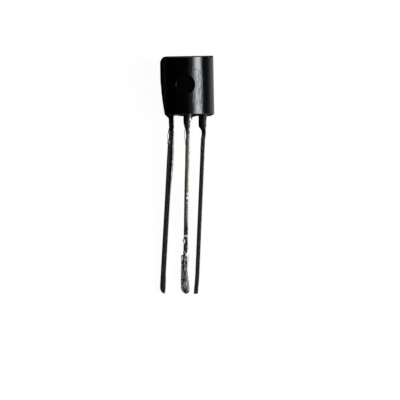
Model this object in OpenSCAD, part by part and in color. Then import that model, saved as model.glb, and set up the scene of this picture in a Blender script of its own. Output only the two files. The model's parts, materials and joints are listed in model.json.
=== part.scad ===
// Small signal transistor: a moulded, D-shaped plastic case and three leads in a row.
//
// Every piece is drawn first in the package's own frame: X across the leads, Y along them, with the
// case above zero and the leads below it, and Z out of the plane of the leads towards the round side.
// The whole part is then laid down as it comes to rest. Its balance lies below the case, so it rests
// on the lower edge of its flat face and on the solder-coated end of its middle lead.

/* [Case] */
// Width of the case across its round side
case_w = 4.4; // [4.2:0.1:5]
// Height of the case along the leads
case_h = 4.9; // [4.7:0.1:5.3]
// Distance from the flat face to the middle of the leads
flat_depth = 1.3; // [1.1:0.05:1.5]
// Draft of the case's two ends, in degrees
end_draft = 5; // [2:1:8]
// Rounding of the upper left corner, seen from the round side
upper_left_r = 0.5; // [0.05:0.05:0.6]
// Rounding of the upper right corner
upper_right_r = 0.15; // [0.05:0.05:0.4]
// Rounding of the two lower corners
lower_corner_r = 0.2; // [0.05:0.05:0.4]

/* [Ejector mark] */
// Diameter of the ejector pin's mark on the round side
mark_d = 1.58; // [1:0.01:1.6]
// Depth of the mark below the crown of the round side
mark_depth = 0.2; // [0.15:0.01:0.3]
// How far the mark sits to the left of the middle
mark_left = 0.12; // [0:0.01:0.3]
// How far the mark sits above the middle
mark_up = 0.05; // [0:0.01:0.3]

/* [Worn flank] */
// How far the left flank is worn in at its lower end
worn_depth = 0.31; // [0.1:0.01:0.35]
// Length of the worn stretch
worn_len = 3.8; // [2.5:0.1:4.2]

/* [Lead frame] */
// Distance between the middles of neighbouring leads where they leave the case
lead_spacing = 1.27; // [1.2:0.01:1.35]
// Length of the longest leads below the case
lead_len = 14.6; // [12.7:0.1:15]
// Thickness of the sheet that the leads are stamped from
lead_t = 0.38; // [0.3:0.01:0.45]
// Length of the leads' shoulders below the case
shoulder_len = 0.9; // [0.6:0.05:1.5]
// Length over which a shoulder narrows to its lead
shoulder_step = 0.3; // [0.1:0.05:0.5]

/* [Base lead] */
// Width of the base lead
base_w = 0.44; // [0.36:0.01:0.5]
// Width of its shoulder
base_shoulder_w = 0.48; // [0.4:0.01:0.7]
// How far its lead stands to the left of its shoulder's middle
base_offset = 0.03; // [0:0.01:0.1]
// How much shorter than the others it was cut
base_trim = 0.05; // [0:0.05:1]
// Its lean to the left, in degrees
base_lean = 4.2; // [0:0.1:6]
// Length of the rounded, slanting cut at its end
base_cut_len = 0.6; // [0.2:0.05:1]

/* [Collector lead] */
// Width of the collector lead
collector_w = 0.35; // [0.34:0.01:0.42]
// Width of its shoulder
collector_shoulder_w = 0.66; // [0.4:0.01:0.7]
// How far its lead stands to the left of its shoulder's middle
collector_offset = 0.01; // [0:0.01:0.1]
// Its lean to the left, in degrees
collector_lean = 1.9; // [0:0.1:4]
// Width of its solder-coated end
coat_w = 0.7; // [0.6:0.01:0.8]
// Thickness of its solder-coated end
coat_t = 0.6; // [0.56:0.01:0.8]
// How far the coat's middle stands to the left of the lead's
coat_offset = 0.04; // [0:0.01:0.06]
// Length of its solder-coated end
coat_len = 3.3; // [2:0.1:5]
// Length over which the solder coat swells
coat_taper = 0.6; // [0.5:0.1:1.5]

/* [Emitter lead] */
// Width of the emitter lead
emitter_w = 0.36; // [0.34:0.01:0.5]
// Width of its shoulder
emitter_shoulder_w = 0.64; // [0.4:0.01:0.7]
// How far its lead stands to the right of its shoulder's middle
emitter_offset = 0.05; // [0:0.01:0.1]
// Its lean to the left, in degrees
emitter_lean = 3.4; // [0:0.1:4]

/* [Inside the case] */
// How far the shoulders run on inside the case
root_h = 0.4; // [0.2:0.05:0.6]
// Width of the three necks above them
neck_w = 0.5; // [0.4:0.05:0.6]
// Width of the paddle that carries the die
paddle_w = 2.2; // [1.6:0.1:2.4]
// Height of the paddle
paddle_h = 1.6; // [1.2:0.1:1.8]
// Corner cut of the paddle
paddle_cut = 0.25; // [0.1:0.05:0.4]
// Plastic between the paddle and the upper end of the case
paddle_cover = 0.7; // [0.5:0.05:0.8]
// Height of the two bond posts
post_h = 0.8; // [0.5:0.05:0.9]
// How far a bond post reaches outwards from the middle of its lead
post_reach = 0.48; // [0.42:0.01:0.54]
// Corner cut of the bond posts
post_cut = 0.1; // [0.05:0.01:0.12]
// Free gap between a bond post and the collector's neck or paddle
post_gap = 0.3; // [0.2:0.05:0.4]

/* [Die and bond wires] */
// Side of the square die
die_side = 0.55; // [0.4:0.05:0.8]
// Thickness of the die
die_t = 0.2; // [0.15:0.01:0.3]
// Thickness of the die's solder
attach_t = 0.03; // [0.02:0.01:0.05]
// How far that solder shows round the die
attach_rim = 0.05; // [0.02:0.01:0.1]
// Diameter of a bond wire
wire_d = 0.05; // [0.03:0.01:0.07]
// Height of a bond wire's loop above the die
wire_loop = 0.45; // [0.3:0.05:0.6]

/* [Hidden] */
$fn = 96;

// Case
case_r = case_w / 2;
draft = tan(end_draft);
over = 1; // cutters reach this far past what they cut
skim = 0.02; // keeps a rounding from meeting the faces beside it at a vanishing angle
arc_steps = 8;
worn_steps = 10;

// Lead frame
lead_top = lead_t / 2;
lead_s = shoulder_len + shoulder_step; // where the plain lead starts, below the case
bend_s = shoulder_len / 2; // where the leads start to lean
base_len = lead_len - base_trim;
paddle_y1 = case_h - paddle_cover;
paddle_y0 = paddle_y1 - paddle_h;
post_y1 = paddle_y0 - post_gap;
post_y0 = post_y1 - post_h;
post_in = neck_w / 2 + post_gap;
post_out = lead_spacing + post_reach;

// Solder coat
coat_r = coat_t / 2;
coat_spread = coat_w / coat_t;
coat_start_r = collector_w / 4; // it runs out inside the lead
coat_cover = 0.8 * coat_r; // solder past the collector's own end
coat_steps = 6;
coat_sides = 16;
coat_centre_s = lead_len - coat_r * cos(collector_lean);

// Die and wires
attach_z = lead_top;
die_z = attach_z + attach_t;
die_top = die_z + die_t;
die_y = (paddle_y0 + paddle_y1) / 2;
pad_x = die_side / 4;
bond_x = (post_in + post_out) / 2;
bond_y = (post_y0 + post_y1) / 2;
wire_r = wire_d / 2;
wire_sides = 8;
wire_steps = 24;
foot_growth = 1.2; // a bond's foot is wider than its wire by this share
foot_share = 0.1; // share of the wire that each foot takes

// Resting pose
edge_y = flat_depth * draft; // height of the flat face's lower edge
rest_reach = coat_centre_s + edge_y;
rest_tilt = acos(coat_r / norm([flat_depth, rest_reach])) - atan2(rest_reach, flat_depth);
rest_lift = flat_depth * cos(rest_tilt) - edge_y * sin(rest_tilt);
left_reach = lead_spacing + base_offset + lean_shift(base_len - base_cut_len, base_lean) + base_w / 2;
middle_x = (case_r - left_reach) / 2;
middle_y = (case_h - lead_len) / 2 * cos(rest_tilt);

// How far a leaning lead has moved to the left at a distance s below the case
function lean_shift(s, lean) = max(0, s - bend_s) * tan(lean);

// Points of an arc round c, from angle a0 to a1
function arc(c, r, a0, a1) =
    [for (i = [0:arc_steps]) let (a = a0 + (a1 - a0) * i / arc_steps) c + r * [cos(a), sin(a)]];

function reversed(list) = [for (i = [len(list) - 1:-1:0]) list[i]];

module in_rest_pose() {
    translate([-middle_x, -middle_y, rest_lift])
        rotate([rest_tilt, 0, 0])
            children();
}

// ------------------------------------------------------------------ case

// End view of the case: a round side and a flat one
module case_section() {
    difference() {
        circle(r = case_r);
        translate([-case_w, -flat_depth - case_w])
            square([2 * case_w, case_w]);
    }
}

// Side view: both ends slope back from the plane of the leads
module draft_profile() {
    top_z = case_r + over;
    bottom_z = flat_depth + over;
    polygon([
        [0, 0],
        [top_z * draft, top_z],
        [case_h - top_z * draft, top_z],
        [case_h, 0],
        [case_h - bottom_z * draft, -bottom_z],
        [bottom_z * draft, -bottom_z],
    ]);
}

// Points of a corner rounding, just outside the case's sides. side is -1 for a left corner, 1 for a
// right one, r the radius and [x, y] the sharp corner.
function corner(x, y, r, side, end, a0) =
    arc([x - side * r, y - end * r], r + skim, a0, a0 + 90);

// View from the round side: rounded corners, and a left flank worn in along a parabola
module case_plan() {
    worn_x = -case_r + worn_depth;
    polygon(concat(
        corner(case_r, 0, lower_corner_r, 1, -1, 270),
        corner(case_r, case_h, upper_right_r, 1, 1, 0),
        corner(-case_r, case_h, upper_left_r, -1, 1, 90),
        [for (i = [0:worn_steps - 1]) let (u = i / worn_steps)
            [-case_r - skim + worn_depth * u * u, worn_len - (worn_len - lower_corner_r) * u]],
        corner(worn_x, 0, lower_corner_r, -1, -1, 180)
    ));
}

// The case is what its three views have in common
module case_blank() {
    intersection() {
        translate([0, case_h + over, 0])
            rotate([90, 0, 0])
                linear_extrude(case_h + 2 * over)
                    case_section();
        translate([-case_r - over, 0, 0])
            rotate([90, 0, 90])
                linear_extrude(case_w + 2 * over)
                    draft_profile();
        translate([0, 0, -case_r - over])
            linear_extrude(case_w + 2 * over)
                case_plan();
    }
}

module ejector_mark() {
    translate([-mark_left, case_h / 2 + mark_up, case_r - mark_depth])
        cylinder(d = mark_d, h = over);
}

// The plastic is moulded round everything that the lead frame carries
module case_shape() {
    difference() {
        case_blank();
        ejector_mark();
        base_lead_shape();
        collector_lead_shape();
        emitter_lead_shape();
        die_attach_shape();
        die_shape();
        wire_shape(-1);
        wire_shape(1);
    }
}

// ------------------------------------------------------------------ lead frame

// One edge of a lead, from its neck inside the case down to the top of its plain stretch.
// x is where the lead leaves the case, side is -1 for its left edge and 1 for its right one.
function lead_edge(x, side, shoulder_w, w, offset, lean) = [
    [x + side * neck_w / 2, root_h + shoulder_step],
    [x + side * shoulder_w / 2, root_h],
    [x + side * shoulder_w / 2, -shoulder_len],
    [x + offset - lean_shift(lead_s, lean) + side * w / 2, -lead_s],
];

// Outline of a bond post, from its neck's inner edge round to its outer edge
function post_outline(side) = [
    for (p = [
        [lead_spacing - neck_w / 2, post_y0],
        [post_in + post_cut, post_y0],
        [post_in, post_y0 + post_cut],
        [post_in, post_y1 - post_cut],
        [post_in + post_cut, post_y1],
        [post_out - post_cut, post_y1],
        [post_out, post_y1 - post_cut],
        [post_out, post_y0 + post_cut],
        [post_out - post_cut, post_y0],
        [lead_spacing + neck_w / 2, post_y0],
    ]) [side * p[0], p[1]]
];

// Outline of the paddle, from the right of its neck round to the left
function paddle_outline() =
    let (
        right = [
            [neck_w / 2, paddle_y0],
            [paddle_w / 2 - paddle_cut, paddle_y0],
            [paddle_w / 2, paddle_y0 + paddle_cut],
            [paddle_w / 2, paddle_y1 - paddle_cut],
            [paddle_w / 2 - paddle_cut, paddle_y1],
        ]
    )
    concat(right, [for (p = reversed(right)) [-p[0], p[1]]]);

// Rounded, slanting cut: the left edge curves in to a point on the right
function slanted_tip(x, w, length, lean) = [
    for (i = [0:arc_steps])
        let (a = 90 * i / arc_steps, s = length - base_cut_len * (1 - sin(a)))
        [x - lean_shift(s, lean) + w / 2 - w * cos(a), -s]
];

// Cut square across the lead, from its right edge to its left one
function square_tip(x, w, length, lean) =
    [for (side = [1, -1])
        [x - lean_shift(length, lean) + side * w / 2 * cos(lean),
         -length + side * w / 2 * sin(lean)]];

module stamped(plan) {
    translate([0, 0, -lead_t / 2])
        linear_extrude(lead_t)
            polygon(plan);
}

module base_lead_shape() {
    left = lead_edge(-lead_spacing, -1, base_shoulder_w, base_w, -base_offset, base_lean);
    right = lead_edge(-lead_spacing, 1, base_shoulder_w, base_w, -base_offset, base_lean);
    tip = slanted_tip(-lead_spacing - base_offset, base_w, base_len, base_lean);
    stamped(concat(post_outline(-1), left, tip, reversed(right)));
}

module emitter_lead_shape() {
    left = lead_edge(lead_spacing, -1, emitter_shoulder_w, emitter_w, emitter_offset, emitter_lean);
    right = lead_edge(lead_spacing, 1, emitter_shoulder_w, emitter_w, emitter_offset, emitter_lean);
    tip = square_tip(lead_spacing + emitter_offset, emitter_w, lead_len, emitter_lean);
    stamped(concat(post_outline(1), right, tip, reversed(left)));
}

// The middle lead carries the paddle at one end and a coat of solder on the other
module collector_lead_shape() {
    offset_x = -collector_offset;
    left = lead_edge(0, -1, collector_shoulder_w, collector_w, offset_x, collector_lean);
    right = lead_edge(0, 1, collector_shoulder_w, collector_w, offset_x, collector_lean);
    tip = square_tip(offset_x, collector_w, lead_len - coat_cover, collector_lean);
    union() {
        stamped(concat(paddle_outline(), left, reversed(tip), reversed(right)));
        solder_coat();
    }
}

// Solder coat: a round end, a plain stretch and an eased taper that runs out inside the lead.
// Each entry is a distance from its tip and the radius there.
function coat_profile() = concat(
    [for (i = [1:arc_steps]) let (a = 90 * i / arc_steps) coat_r * [1 - cos(a), sin(a)]],
    [for (i = [0:coat_steps]) let (u = i / coat_steps)
        [coat_len - coat_taper * (1 - u),
         coat_r - (coat_r - coat_start_r) * (1 - cos(180 * u)) / 2]]
);

module solder_coat() {
    tip_x = -collector_offset - coat_offset - lean_shift(lead_len, collector_lean);
    axis = [sin(collector_lean), cos(collector_lean), 0];
    tube([for (p = coat_profile())
        ring([tip_x, -lead_len, 0] + p[0] * axis, axis, [0, 0, 1], p[1], coat_sides, coat_spread)]);
}

// Points of a ring of radius r round centre, square to the unit vector along. spread makes it wider
// than it is high.
function ring(centre, along, up, r, sides, spread = 1) =
    let (across = spread * cross(along, up))
    [for (k = [0:sides - 1]) let (a = 360 * k / sides) centre + r * (cos(a) * up + sin(a) * across)];

// Closed tube through rings of the same number of points
module tube(rings) {
    sides = len(rings[0]);
    last = len(rings) - 1;
    polyhedron(
        points = [for (ring = rings) each ring],
        faces = concat(
            [[for (k = [0:sides - 1]) k]],
            [for (i = [0:last - 1], k = [0:sides - 1]) let (next = (k + 1) % sides)
                [i * sides + k, (i + 1) * sides + k, (i + 1) * sides + next, i * sides + next]],
            [[for (k = [sides - 1:-1:0]) last * sides + k]]
        ),
        convexity = 4
    );
}

// ------------------------------------------------------------------ die and bond wires

module die_attach_shape() {
    side = die_side + 2 * attach_rim;
    translate([-side / 2, die_y - side / 2, attach_z])
        cube([side, side, attach_t]);
}

module die_shape() {
    translate([-die_side / 2, die_y - die_side / 2, die_z])
        cube([die_side, die_side, die_t]);
}

// Cubic curve through the loop's plane: distance along the chord, height above the die
function loop_point(span, drop, t) =
    let (rise = wire_loop / 0.75, u = 1 - t)
    [(3 * u * t * t + t * t * t) * span, 3 * u * t * rise - t * t * t * drop];

function loop_direction(span, drop, t) =
    let (rise = wire_loop / 0.75, u = 1 - t)
    [6 * u * t * span, 3 * u * u * rise - 3 * t * t * (drop + rise)];

// A wire's radius: it swells to a foot at each end
function wire_radius(t) =
    let (foot = max(0, 1 - min(t, 1 - t) / foot_share))
    wire_r * (1 + foot_growth * foot * foot);

// One ring of a wire that starts at point p and runs towards unit vector d, in a plane with Z
function wire_ring(p, d, span, drop, t) =
    let (
        at = loop_point(span, drop, t),
        v = loop_direction(span, drop, t) / norm(loop_direction(span, drop, t))
    )
    ring(p + at[0] * d + [0, 0, at[1]], v[0] * d + [0, 0, v[1]], -v[1] * d + [0, 0, v[0]],
         wire_radius(t), wire_sides);

// Bond wire from the die's pad to the post on the same side: -1 is the base, 1 is the emitter
module wire_shape(side) {
    start = [side * pad_x, die_y, die_top];
    chord = [side * (bond_x - pad_x), bond_y - die_y, 0];
    span = norm(chord);
    drop = die_top - lead_top;
    tube([for (i = [0:wire_steps]) wire_ring(start, chord / span, span, drop, i / wire_steps)]);
}

// ------------------------------------------------------------------ nodes

module case() {
    color("#17181a") in_rest_pose() case_shape();
}

module base_lead() {
    color("#8e8f88") in_rest_pose() base_lead_shape();
}

module collector_lead() {
    color("#a9aaa3") in_rest_pose() collector_lead_shape();
}

module emitter_lead() {
    color("#8e8f88") in_rest_pose() emitter_lead_shape();
}

module die() {
    color("#5b6270") in_rest_pose() die_shape();
}

module die_attach() {
    color("#b9bcc0") in_rest_pose() die_attach_shape();
}

module base_wire() {
    color("#d4a531") in_rest_pose() wire_shape(-1);
}

module emitter_wire() {
    color("#d4a531") in_rest_pose() wire_shape(1);
}

case();
base_lead();
collector_lead();
emitter_lead();
die();
die_attach();
base_wire();
emitter_wire();
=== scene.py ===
"""Looks of a small signal transistor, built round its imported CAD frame.

Shapes are worked out in millimetres in the package's own frame: X across the leads, Y along them
with the case above zero and the leads below it, and Z out of their plane towards the round side.
The frame's flat_side mount says how the package lies at rest, and placed() turns points of the
package into metres of the frame.
"""

import json
import math

import bpy
import numpy as np
from mathutils import Matrix


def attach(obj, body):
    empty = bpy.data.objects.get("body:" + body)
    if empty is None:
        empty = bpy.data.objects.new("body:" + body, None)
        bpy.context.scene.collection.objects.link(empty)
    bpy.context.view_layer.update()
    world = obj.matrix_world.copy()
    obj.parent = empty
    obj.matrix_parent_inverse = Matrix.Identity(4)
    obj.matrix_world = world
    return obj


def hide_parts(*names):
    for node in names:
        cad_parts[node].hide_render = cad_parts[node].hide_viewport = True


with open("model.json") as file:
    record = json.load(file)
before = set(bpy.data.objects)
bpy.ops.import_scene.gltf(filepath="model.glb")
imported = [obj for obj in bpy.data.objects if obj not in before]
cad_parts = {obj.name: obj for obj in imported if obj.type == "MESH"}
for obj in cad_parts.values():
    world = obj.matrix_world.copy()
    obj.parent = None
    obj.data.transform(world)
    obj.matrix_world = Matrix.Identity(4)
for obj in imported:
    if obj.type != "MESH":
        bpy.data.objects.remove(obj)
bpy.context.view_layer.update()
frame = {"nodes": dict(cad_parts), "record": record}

MM = 0.001  # metres in a millimetre

# ------------------------------------------------------------------ sizes in mm, as in the CAD part

# Case: a round side about the middle of the leads, and a flat behind them
CASE_R = 2.2
CASE_H = 4.9
FLAT_DEPTH = 1.3
END_DRAFT = math.radians(5)  # slope of the two ends
UPPER_LEFT_R = 0.5
UPPER_RIGHT_R = 0.15
LOWER_CORNER_R = 0.2
MARK_X = -0.12  # the ejector pin's mark
MARK_Y = CASE_H / 2 + 0.05
MARK_R = 0.79
MARK_DEPTH = 0.2
WORN_DEPTH = 0.31  # wear of the left flank at its lower end, and its length
WORN_LEN = 3.8

# Lead frame. Its paddle and its two bond posts are inside the case.
LEAD_SPACING = 1.27
LEAD_LEN = 14.6
LEAD_T = 0.38
SHOULDER_LEN = 0.9
SHOULDER_STEP = 0.3
ROOT_H = 0.4
NECK_W = 0.5
BEND_S = SHOULDER_LEN / 2  # where the leads start to lean, below the case
LEAD_S = SHOULDER_LEN + SHOULDER_STEP  # where the plain leads start
PADDLE_W = 2.2
PADDLE_TOP = CASE_H - 0.7
PADDLE_BOTTOM = PADDLE_TOP - 1.6
PADDLE_CUT = 0.25
POST_GAP = 0.3  # between a post and the collector's neck or paddle
POST_INNER = NECK_W / 2 + POST_GAP
POST_OUTER = LEAD_SPACING + 0.48
POST_TOP = PADDLE_BOTTOM - POST_GAP
POST_BOTTOM = POST_TOP - 0.8
POST_CUT = 0.1

# Leads. An offset is a lead's place from its shoulder's middle, and a lean is in degrees.
BASE_W = 0.44
BASE_SHOULDER_W = 0.48
BASE_OFFSET = -0.03
BASE_LEN = LEAD_LEN - 0.05
BASE_CUT_LEN = 0.6
BASE_LEAN = 4.2
COLLECTOR_W = 0.35
COLLECTOR_SHOULDER_W = 0.66
COLLECTOR_OFFSET = -0.01
COLLECTOR_LEAN = 1.9
COAT_W = 0.7
COAT_T = 0.6
COAT_OFFSET = -0.04
COAT_LEN = 3.3
COAT_TAPER = 0.6
EMITTER_W = 0.36
EMITTER_SHOULDER_W = 0.64
EMITTER_OFFSET = 0.05
EMITTER_LEAN = 3.4

# ------------------------------------------------------------------ finish that the CAD part leaves out

# Case
TIGHT = 0.004  # how far its surface stays inside the CAD's facets
LOWER_DRAFT = math.radians(2.5)  # slope of the lower end on the round half
UPPER_DRAFT = math.radians(4)  # the same of the upper end
END_EDGE_R = 0.035  # rounding of the two ends
FLAT_EDGE_R = 0.08  # rounding between the flat and the round side
FLANK_EDGE_R = 0.05  # softness of the edges of the worn flank and of the corners
CORNER_WEAR = 0.12  # how much larger the upper left corner's rounding has worn
LOWER_WEAR = 0.05  # how far the lower end is worn up on the left
LOWER_WEAR_X = (0.2, 1.1)  # where that wear starts and is full, to the left of the middle
COLUMN_STEP = math.radians(1.1)  # greatest angle between two columns of the round side's points
FILLET_POINTS = 5  # points of the rounding beside the flat, and of the flat
FLAT_POINTS = 30
EDGE_RINGS = 7  # rings round the edge of an end, inside it, and from it to the level ones
CAP_RINGS = 7
BLEND_RINGS = 20
LEVEL_FROM = 0.85  # from here on the rings are level
RING_STEP = 0.05  # greatest distance between them
CASE_SHARP = math.radians(35)  # edges that turn by more than this are shaded sharp

# Ejector mark
MARK_WALL = 0.01  # width of its wall, seen from above
MARK_WALL_H = 1.2 * MARK_DEPTH  # the wall runs on past the round side
MARK_EDGE_R = 0.005  # softness of its edges
MARK_CLEAR = 1.1 * MARK_R  # clear of the mark, and where its pull on the grid ends
MARK_PULL_R = 2 * MARK_R
MARK_RIM = [MARK_R - MARK_WALL, MARK_R, MARK_R + 2 * MARK_WALL]
MARK_RINGS = [-r for r in reversed(MARK_RIM)] + [0, *MARK_RIM]
MARK_REACH = math.radians(60)  # no point further round from Z is near the mark

# Scuffs, a scratch across them and a dull spot below the ejector mark, by X and Y
SCUFFED_X = (0.45, 1.25)  # the stretch that is scuffed most
SCUFF_FADE = 0.1  # softness of its edges
SCUFF_LEAST = 0.2  # share of the scuffs beside it
SCRATCH_FROM = (0.44, 3.87)
SCRATCH_TO = (1.02, 3.57)
SCRATCH_W = 0.04
SCRATCH_CURVE = 1.5  # power by which the scratch falls along X
RUBBED = (-0.17, 1.62)
RUBBED_R = 0.13
RUBBED_SHARE = 0.3

# Flash on the mould's parting line, below the lower end of the case
FLASH_X = (-1.6, 1.95)
FLASH_STEP = 0.03  # greatest distance between its rings
FLASH_T = 0.04
FLASH_ROOT = 0.05  # how far it reaches into the case
FRINGE = 0.035  # length of its fringe below the case, and the least length
FRINGE_LEAST = 0.005
FRINGE_WAVE = 0.008  # height of the fringe's waves
FRINGE_WAVES = [(9, 0), (23, 1)]  # radians a mm, and start of each wave
# X, length and width of the longer bits of the fringe
FLASH_LUMPS = [(0.33, 0.28, 0.06), (0.5, 0.07, 0.12), (1.8, 0.04, 0.1), (1.6, 0.04, 0.05)]

# Leads
LEAD_RING_STEP = 0.045  # greatest distance between a lead's rings
SKIM = 0.01  # step over which a lead's neck starts
ARC_POINTS = 10  # points of a lead's section on each corner
SIDE_POINTS = 8  # and on each side between them
LEAD_EDGE_R = 0.03  # rounding that stamping and plating leave
LEAD_EDGE_MOST = 0.98  # its greatest share of the section's smaller half size
LEAD_CROWN = 0.015  # how far a wide face stands out in its middle
CROWN_FULL_W = 2 * BASE_W  # width from which it stands out that far, and a narrower one less
LEAD_SHARP = math.radians(50)  # edges that turn by more than this are shaded sharp
SOLDERED = 0.08  # height from which a lump is bare solder
BASE_CUT_END = 0.999  # share of the base lead's cut at which it stops
EMITTER_CUT_LEN = 1  # length over which the emitter lead's rings turn square to it

# Worn upper faces: the slope at the right edge in degrees, and the power by which the face falls
SLANT = 14
SLANT_POWER = 2
SHOULDER_SLANT = 20  # on the collector lead's shoulder
SHOULDER_POWER = 3
EMITTER_SLANT = 3  # on the emitter lead's shoulder, with SLANT_POWER
SLANT_FROM = SHOULDER_LEN - 0.2  # where the shoulder's slope starts to change to the lead's
SLANT_FADES = [(0.08, 4.6, 5.4), (0.52, 8.3, 9.3)]  # share of the slope lost between two places

# Solder coat on the collector lead's end. Its places are distances from the tip.
COAT_RIPPLE = 0.012  # depth of its dimples
COAT_WAVES = [(11, 2, 0), (17, -3, 1), (7, 1, 2)]  # radians a mm, waves round it and start of each wave
GROOVE_TURN = -0.55  # place, spread and depth in ripples of a groove along its upper left side
GROOVE_SPREAD = 0.18
GROOVE_DEPTH = 3
COAT_ROUND = 0.65  # rounding of its section, as a share of its smaller half size
COAT_JOIN = 0.05  # softness of its step down to the lead
COAT_START = 0.15  # length over which it reaches its width
COAT_SLIM = 0.02  # how much slimmer it is on each side above its end, and where that starts
COAT_SLIM_FROM = (0.8, 1.3)
TIP_LEN = 0.48  # length over which it narrows to its tip
TIP_LEAST = 0.002  # share of that length at which the tip is closed
TIP_BENDS = [(0.1, 0, 0.5), (0.05, 0.5, 1.4)]  # shift to the right, where it is full and where none
LEDGE_FROM = (1.0, 1.5)  # a ledge along its left side: where it starts and is full
LEDGE_X = -0.13  # its inner edge, from the middle of the coat
LEDGE_Z = 0.15  # its height there, and its rise towards the left
LEDGE_RISE = 0.17
LEDGE_FOOT = 3  # how much faster than the plain coat's side its foot rises
LEDGE_SOFT = 0.02

# Slivers of solder that have lifted off two of the leads: the edge's X, from and to below the case
BASE_WHISKER = (-1.55, 1.35, 2.15)
COLLECTOR_WHISKER = (-0.16, 1.0, 2.1)
WHISKER_R = 0.02
WHISKER_LIFT = 0.14  # how far their middle stands off the lead
WHISKER_RINGS = 25
ROD_SIDES = 8  # sides of the slivers and of the flash

# Bent or nicked edges of the leads: place below the case, length, and how far the left and the right
# edge are shifted along X
BASE_BITES = [
    (-0.1, 0.17, -0.24, 0),
    (0.5, 0.75, -0.04, -0.12),
    (1.6, 0.28, 0.05, 0),
    (13.9, 0.6, 0.003, 0.04),
]
COLLECTOR_BITES = [
    (0.1, 0.3, 0, -0.03),
    (0.35, 0.4, -0.035, 0),
    (0.8, 0.35, 0, -0.15),
    (0.9, 0.2, 0.04, 0),
    (1.65, 0.25, 0.03, 0),
    (2.9, 1.7, 0.035, 0.035),
]
EMITTER_BITES = [
    (0.5, 0.6, -0.07, 0),
    (0.75, 0.4, 0, -0.06),
    (1.5, 0.28, 0.045, 0.04),
    (LEAD_LEN, 0.8, -0.05, -0.05),
]

# Solder left on the leads by an earlier mounting: place below the case, turn in degrees from Z
# towards X, height, length, spread round the lead in degrees
BASE_LUMPS = [
    (0.95, -80, -0.02, 0.12, 50),
    (1.3, -80, 0.05, 0.12, 40),
    (2.15, -85, 0.05, 0.15, 40),
    (1.4, 80, 0.03, 0.2, 50),
    (3.6, 90, 0.09, 2.1, 45),
    (3.6, -90, 0.02, 2.1, 45),
]
COLLECTOR_LUMPS = [
    (1.3, 50, 0.03, 0.12, 60),
    (2.2, -90, 0.04, 0.2, 30),
    (3.2, -90, 0.02, 0.8, 40),
    (6.7, 60, 0.02, 0.2, 60),
    (9.4, 70, 0.03, 0.3, 50),
    (10.2, -92, 0.1, 0.14, 30),
    (10.5, 80, 0.02, 0.3, 50),
    (10.8, 20, 0.02, 0.12, 60),
    (11.2, -80, 0.04, 0.12, 50),
]
EMITTER_LUMPS = [
    (1.25, 70, 0.03, 0.15, 60),
    (1.9, -70, 0.015, 0.15, 50),
    (2.6, -80, 0.02, 0.2, 40),
]

# Pale flux left beside the solder, and partly a painted highlight, in the same form, with its share in
# place of a height
BASE_FLUX_AND_HIGHLIGHT = [(1.9, 75, 0.6, 0.4, 30)]
COLLECTOR_FLUX_AND_HIGHLIGHT = [
    (6.4, 12, 0.52, 0.2, 40),
    (6.75, 30, 1.2, 0.1, 40),
    (7.12, 20, 0.4, 0.17, 45),
    (8.9, -75, 1.2, 0.07, 40),
    (9.85, 10, 0.35, 0.1, 120),
    (10.2, 0, 0.22, 1, 200),
    (10.3, -55, 1.5, 0.15, 28),
    (11.35, 50, 1.1, 0.12, 40),
    (12.3, 88, 1.6, 1.05, 46),
    (13.9, 0, 0.2, 0.6, 200),
    (13.9, -14, 0.3, 0.5, 8),
    (13.9, 20, 0.25, 0.5, 8),
]

# Black resin that has bled on to the shoulders, in the same form as the flux. It is also painted shade of
# the case, darkening the shoulders where they meet it.
BASE_RESIN_AND_SHADE = [(0, 0, 1.5, 0.5, 300), (1.1, 40, 0.6, 0.5, 150)]
COLLECTOR_RESIN_AND_SHADE = [
    (0.02, 0, 2, 0.09, 300),
    (0.3, -60, 1.8, 0.8, 80),
    (0.8, 0, 1.5, 0.28, 300),
]
EMITTER_RESIN_AND_SHADE = [(0.3, -70, 2, 0.9, 80), (1.2, -50, 1.0, 0.35, 80)]

# ------------------------------------------------------------------ studio, in mm and degrees

# Curved key lamp over the right side, and black flag over the left one, about the leads' direction.
# Angles run from Z towards X.
PANEL_R = 340
KEY_FROM = 3
KEY_RISE = 12  # the lamp's radiance rises from here
KEY_FULL = 44
KEY_FADE = 54  # and fades from here
KEY_TO = 76
KEY_RADIANCE = 12
KEY_SPILL = 0.018  # share of the full radiance that spills on to the lamp's dark side
KEY_SPILL_FULL = 16
KEY_Y = [-95, -35, 25, 85]
FLAG_FROM = -90
FLAG_Y = [-200, 0, 200]
FLAG_STRIPS = 29

# Cards on the table beside the part, which only reflections see: X, Z and radiance along the profile,
# and the two ends in Y. They give the case's flanks and the leads' sides something dark or dim to mirror.
# The left card is painted shade: the part's shadow on the paper, dim further out. The right one is a
# painted reflection of the paper lit by the key lamp, dimmer further out.
LEFT_SHADE_CARD = [
    (-2.4, 0.02, 0),
    (-5.4, 0.02, 0),
    (-5.5, 0.02, 0.04),
    (-13, 0.02, 0.04),
    (-15, 0.02, 0),
    (-15, 60, 0),
]
LEFT_SHADE_CARD_Y = (-6.4, 20)
RIGHT_REFLECTION_CARD = [
    (2.5, 0.02, 0.64),
    (5.1, 0.02, 0.58),
    (6.5, 0.02, 0.47),
    (9, 0.02, 0.28),
    (9, 1, 0.14),
    (9, 2, 0.07),
    (9, 3, 0.04),
    (9, 5.2, 0.03),
]
RIGHT_REFLECTION_CARD_Y = (3, 20)
# Black cards below and above the case and far in front of the leads: Y, Z and radiance along the
# profile, and the two ends in X. Those below and above the case are painted shade: the case's shadow
# on the paper next to its two ends, as the ends and the leads' shoulders mirror it.
LOWER_SHADE_CARD = [(4.8, 0.03, 0), (3.5, 0.03, 0)]
UPPER_SHADE_CARD = [(9.8, 0.03, 0), (11, 0.03, 0)]
END_SHADE_CARD_X = (-8, 6)
FRONT_CARD = [(-25, 0, 0), (-25, 100, 0)]
FRONT_CARD_X = (-60, 60)

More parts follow.
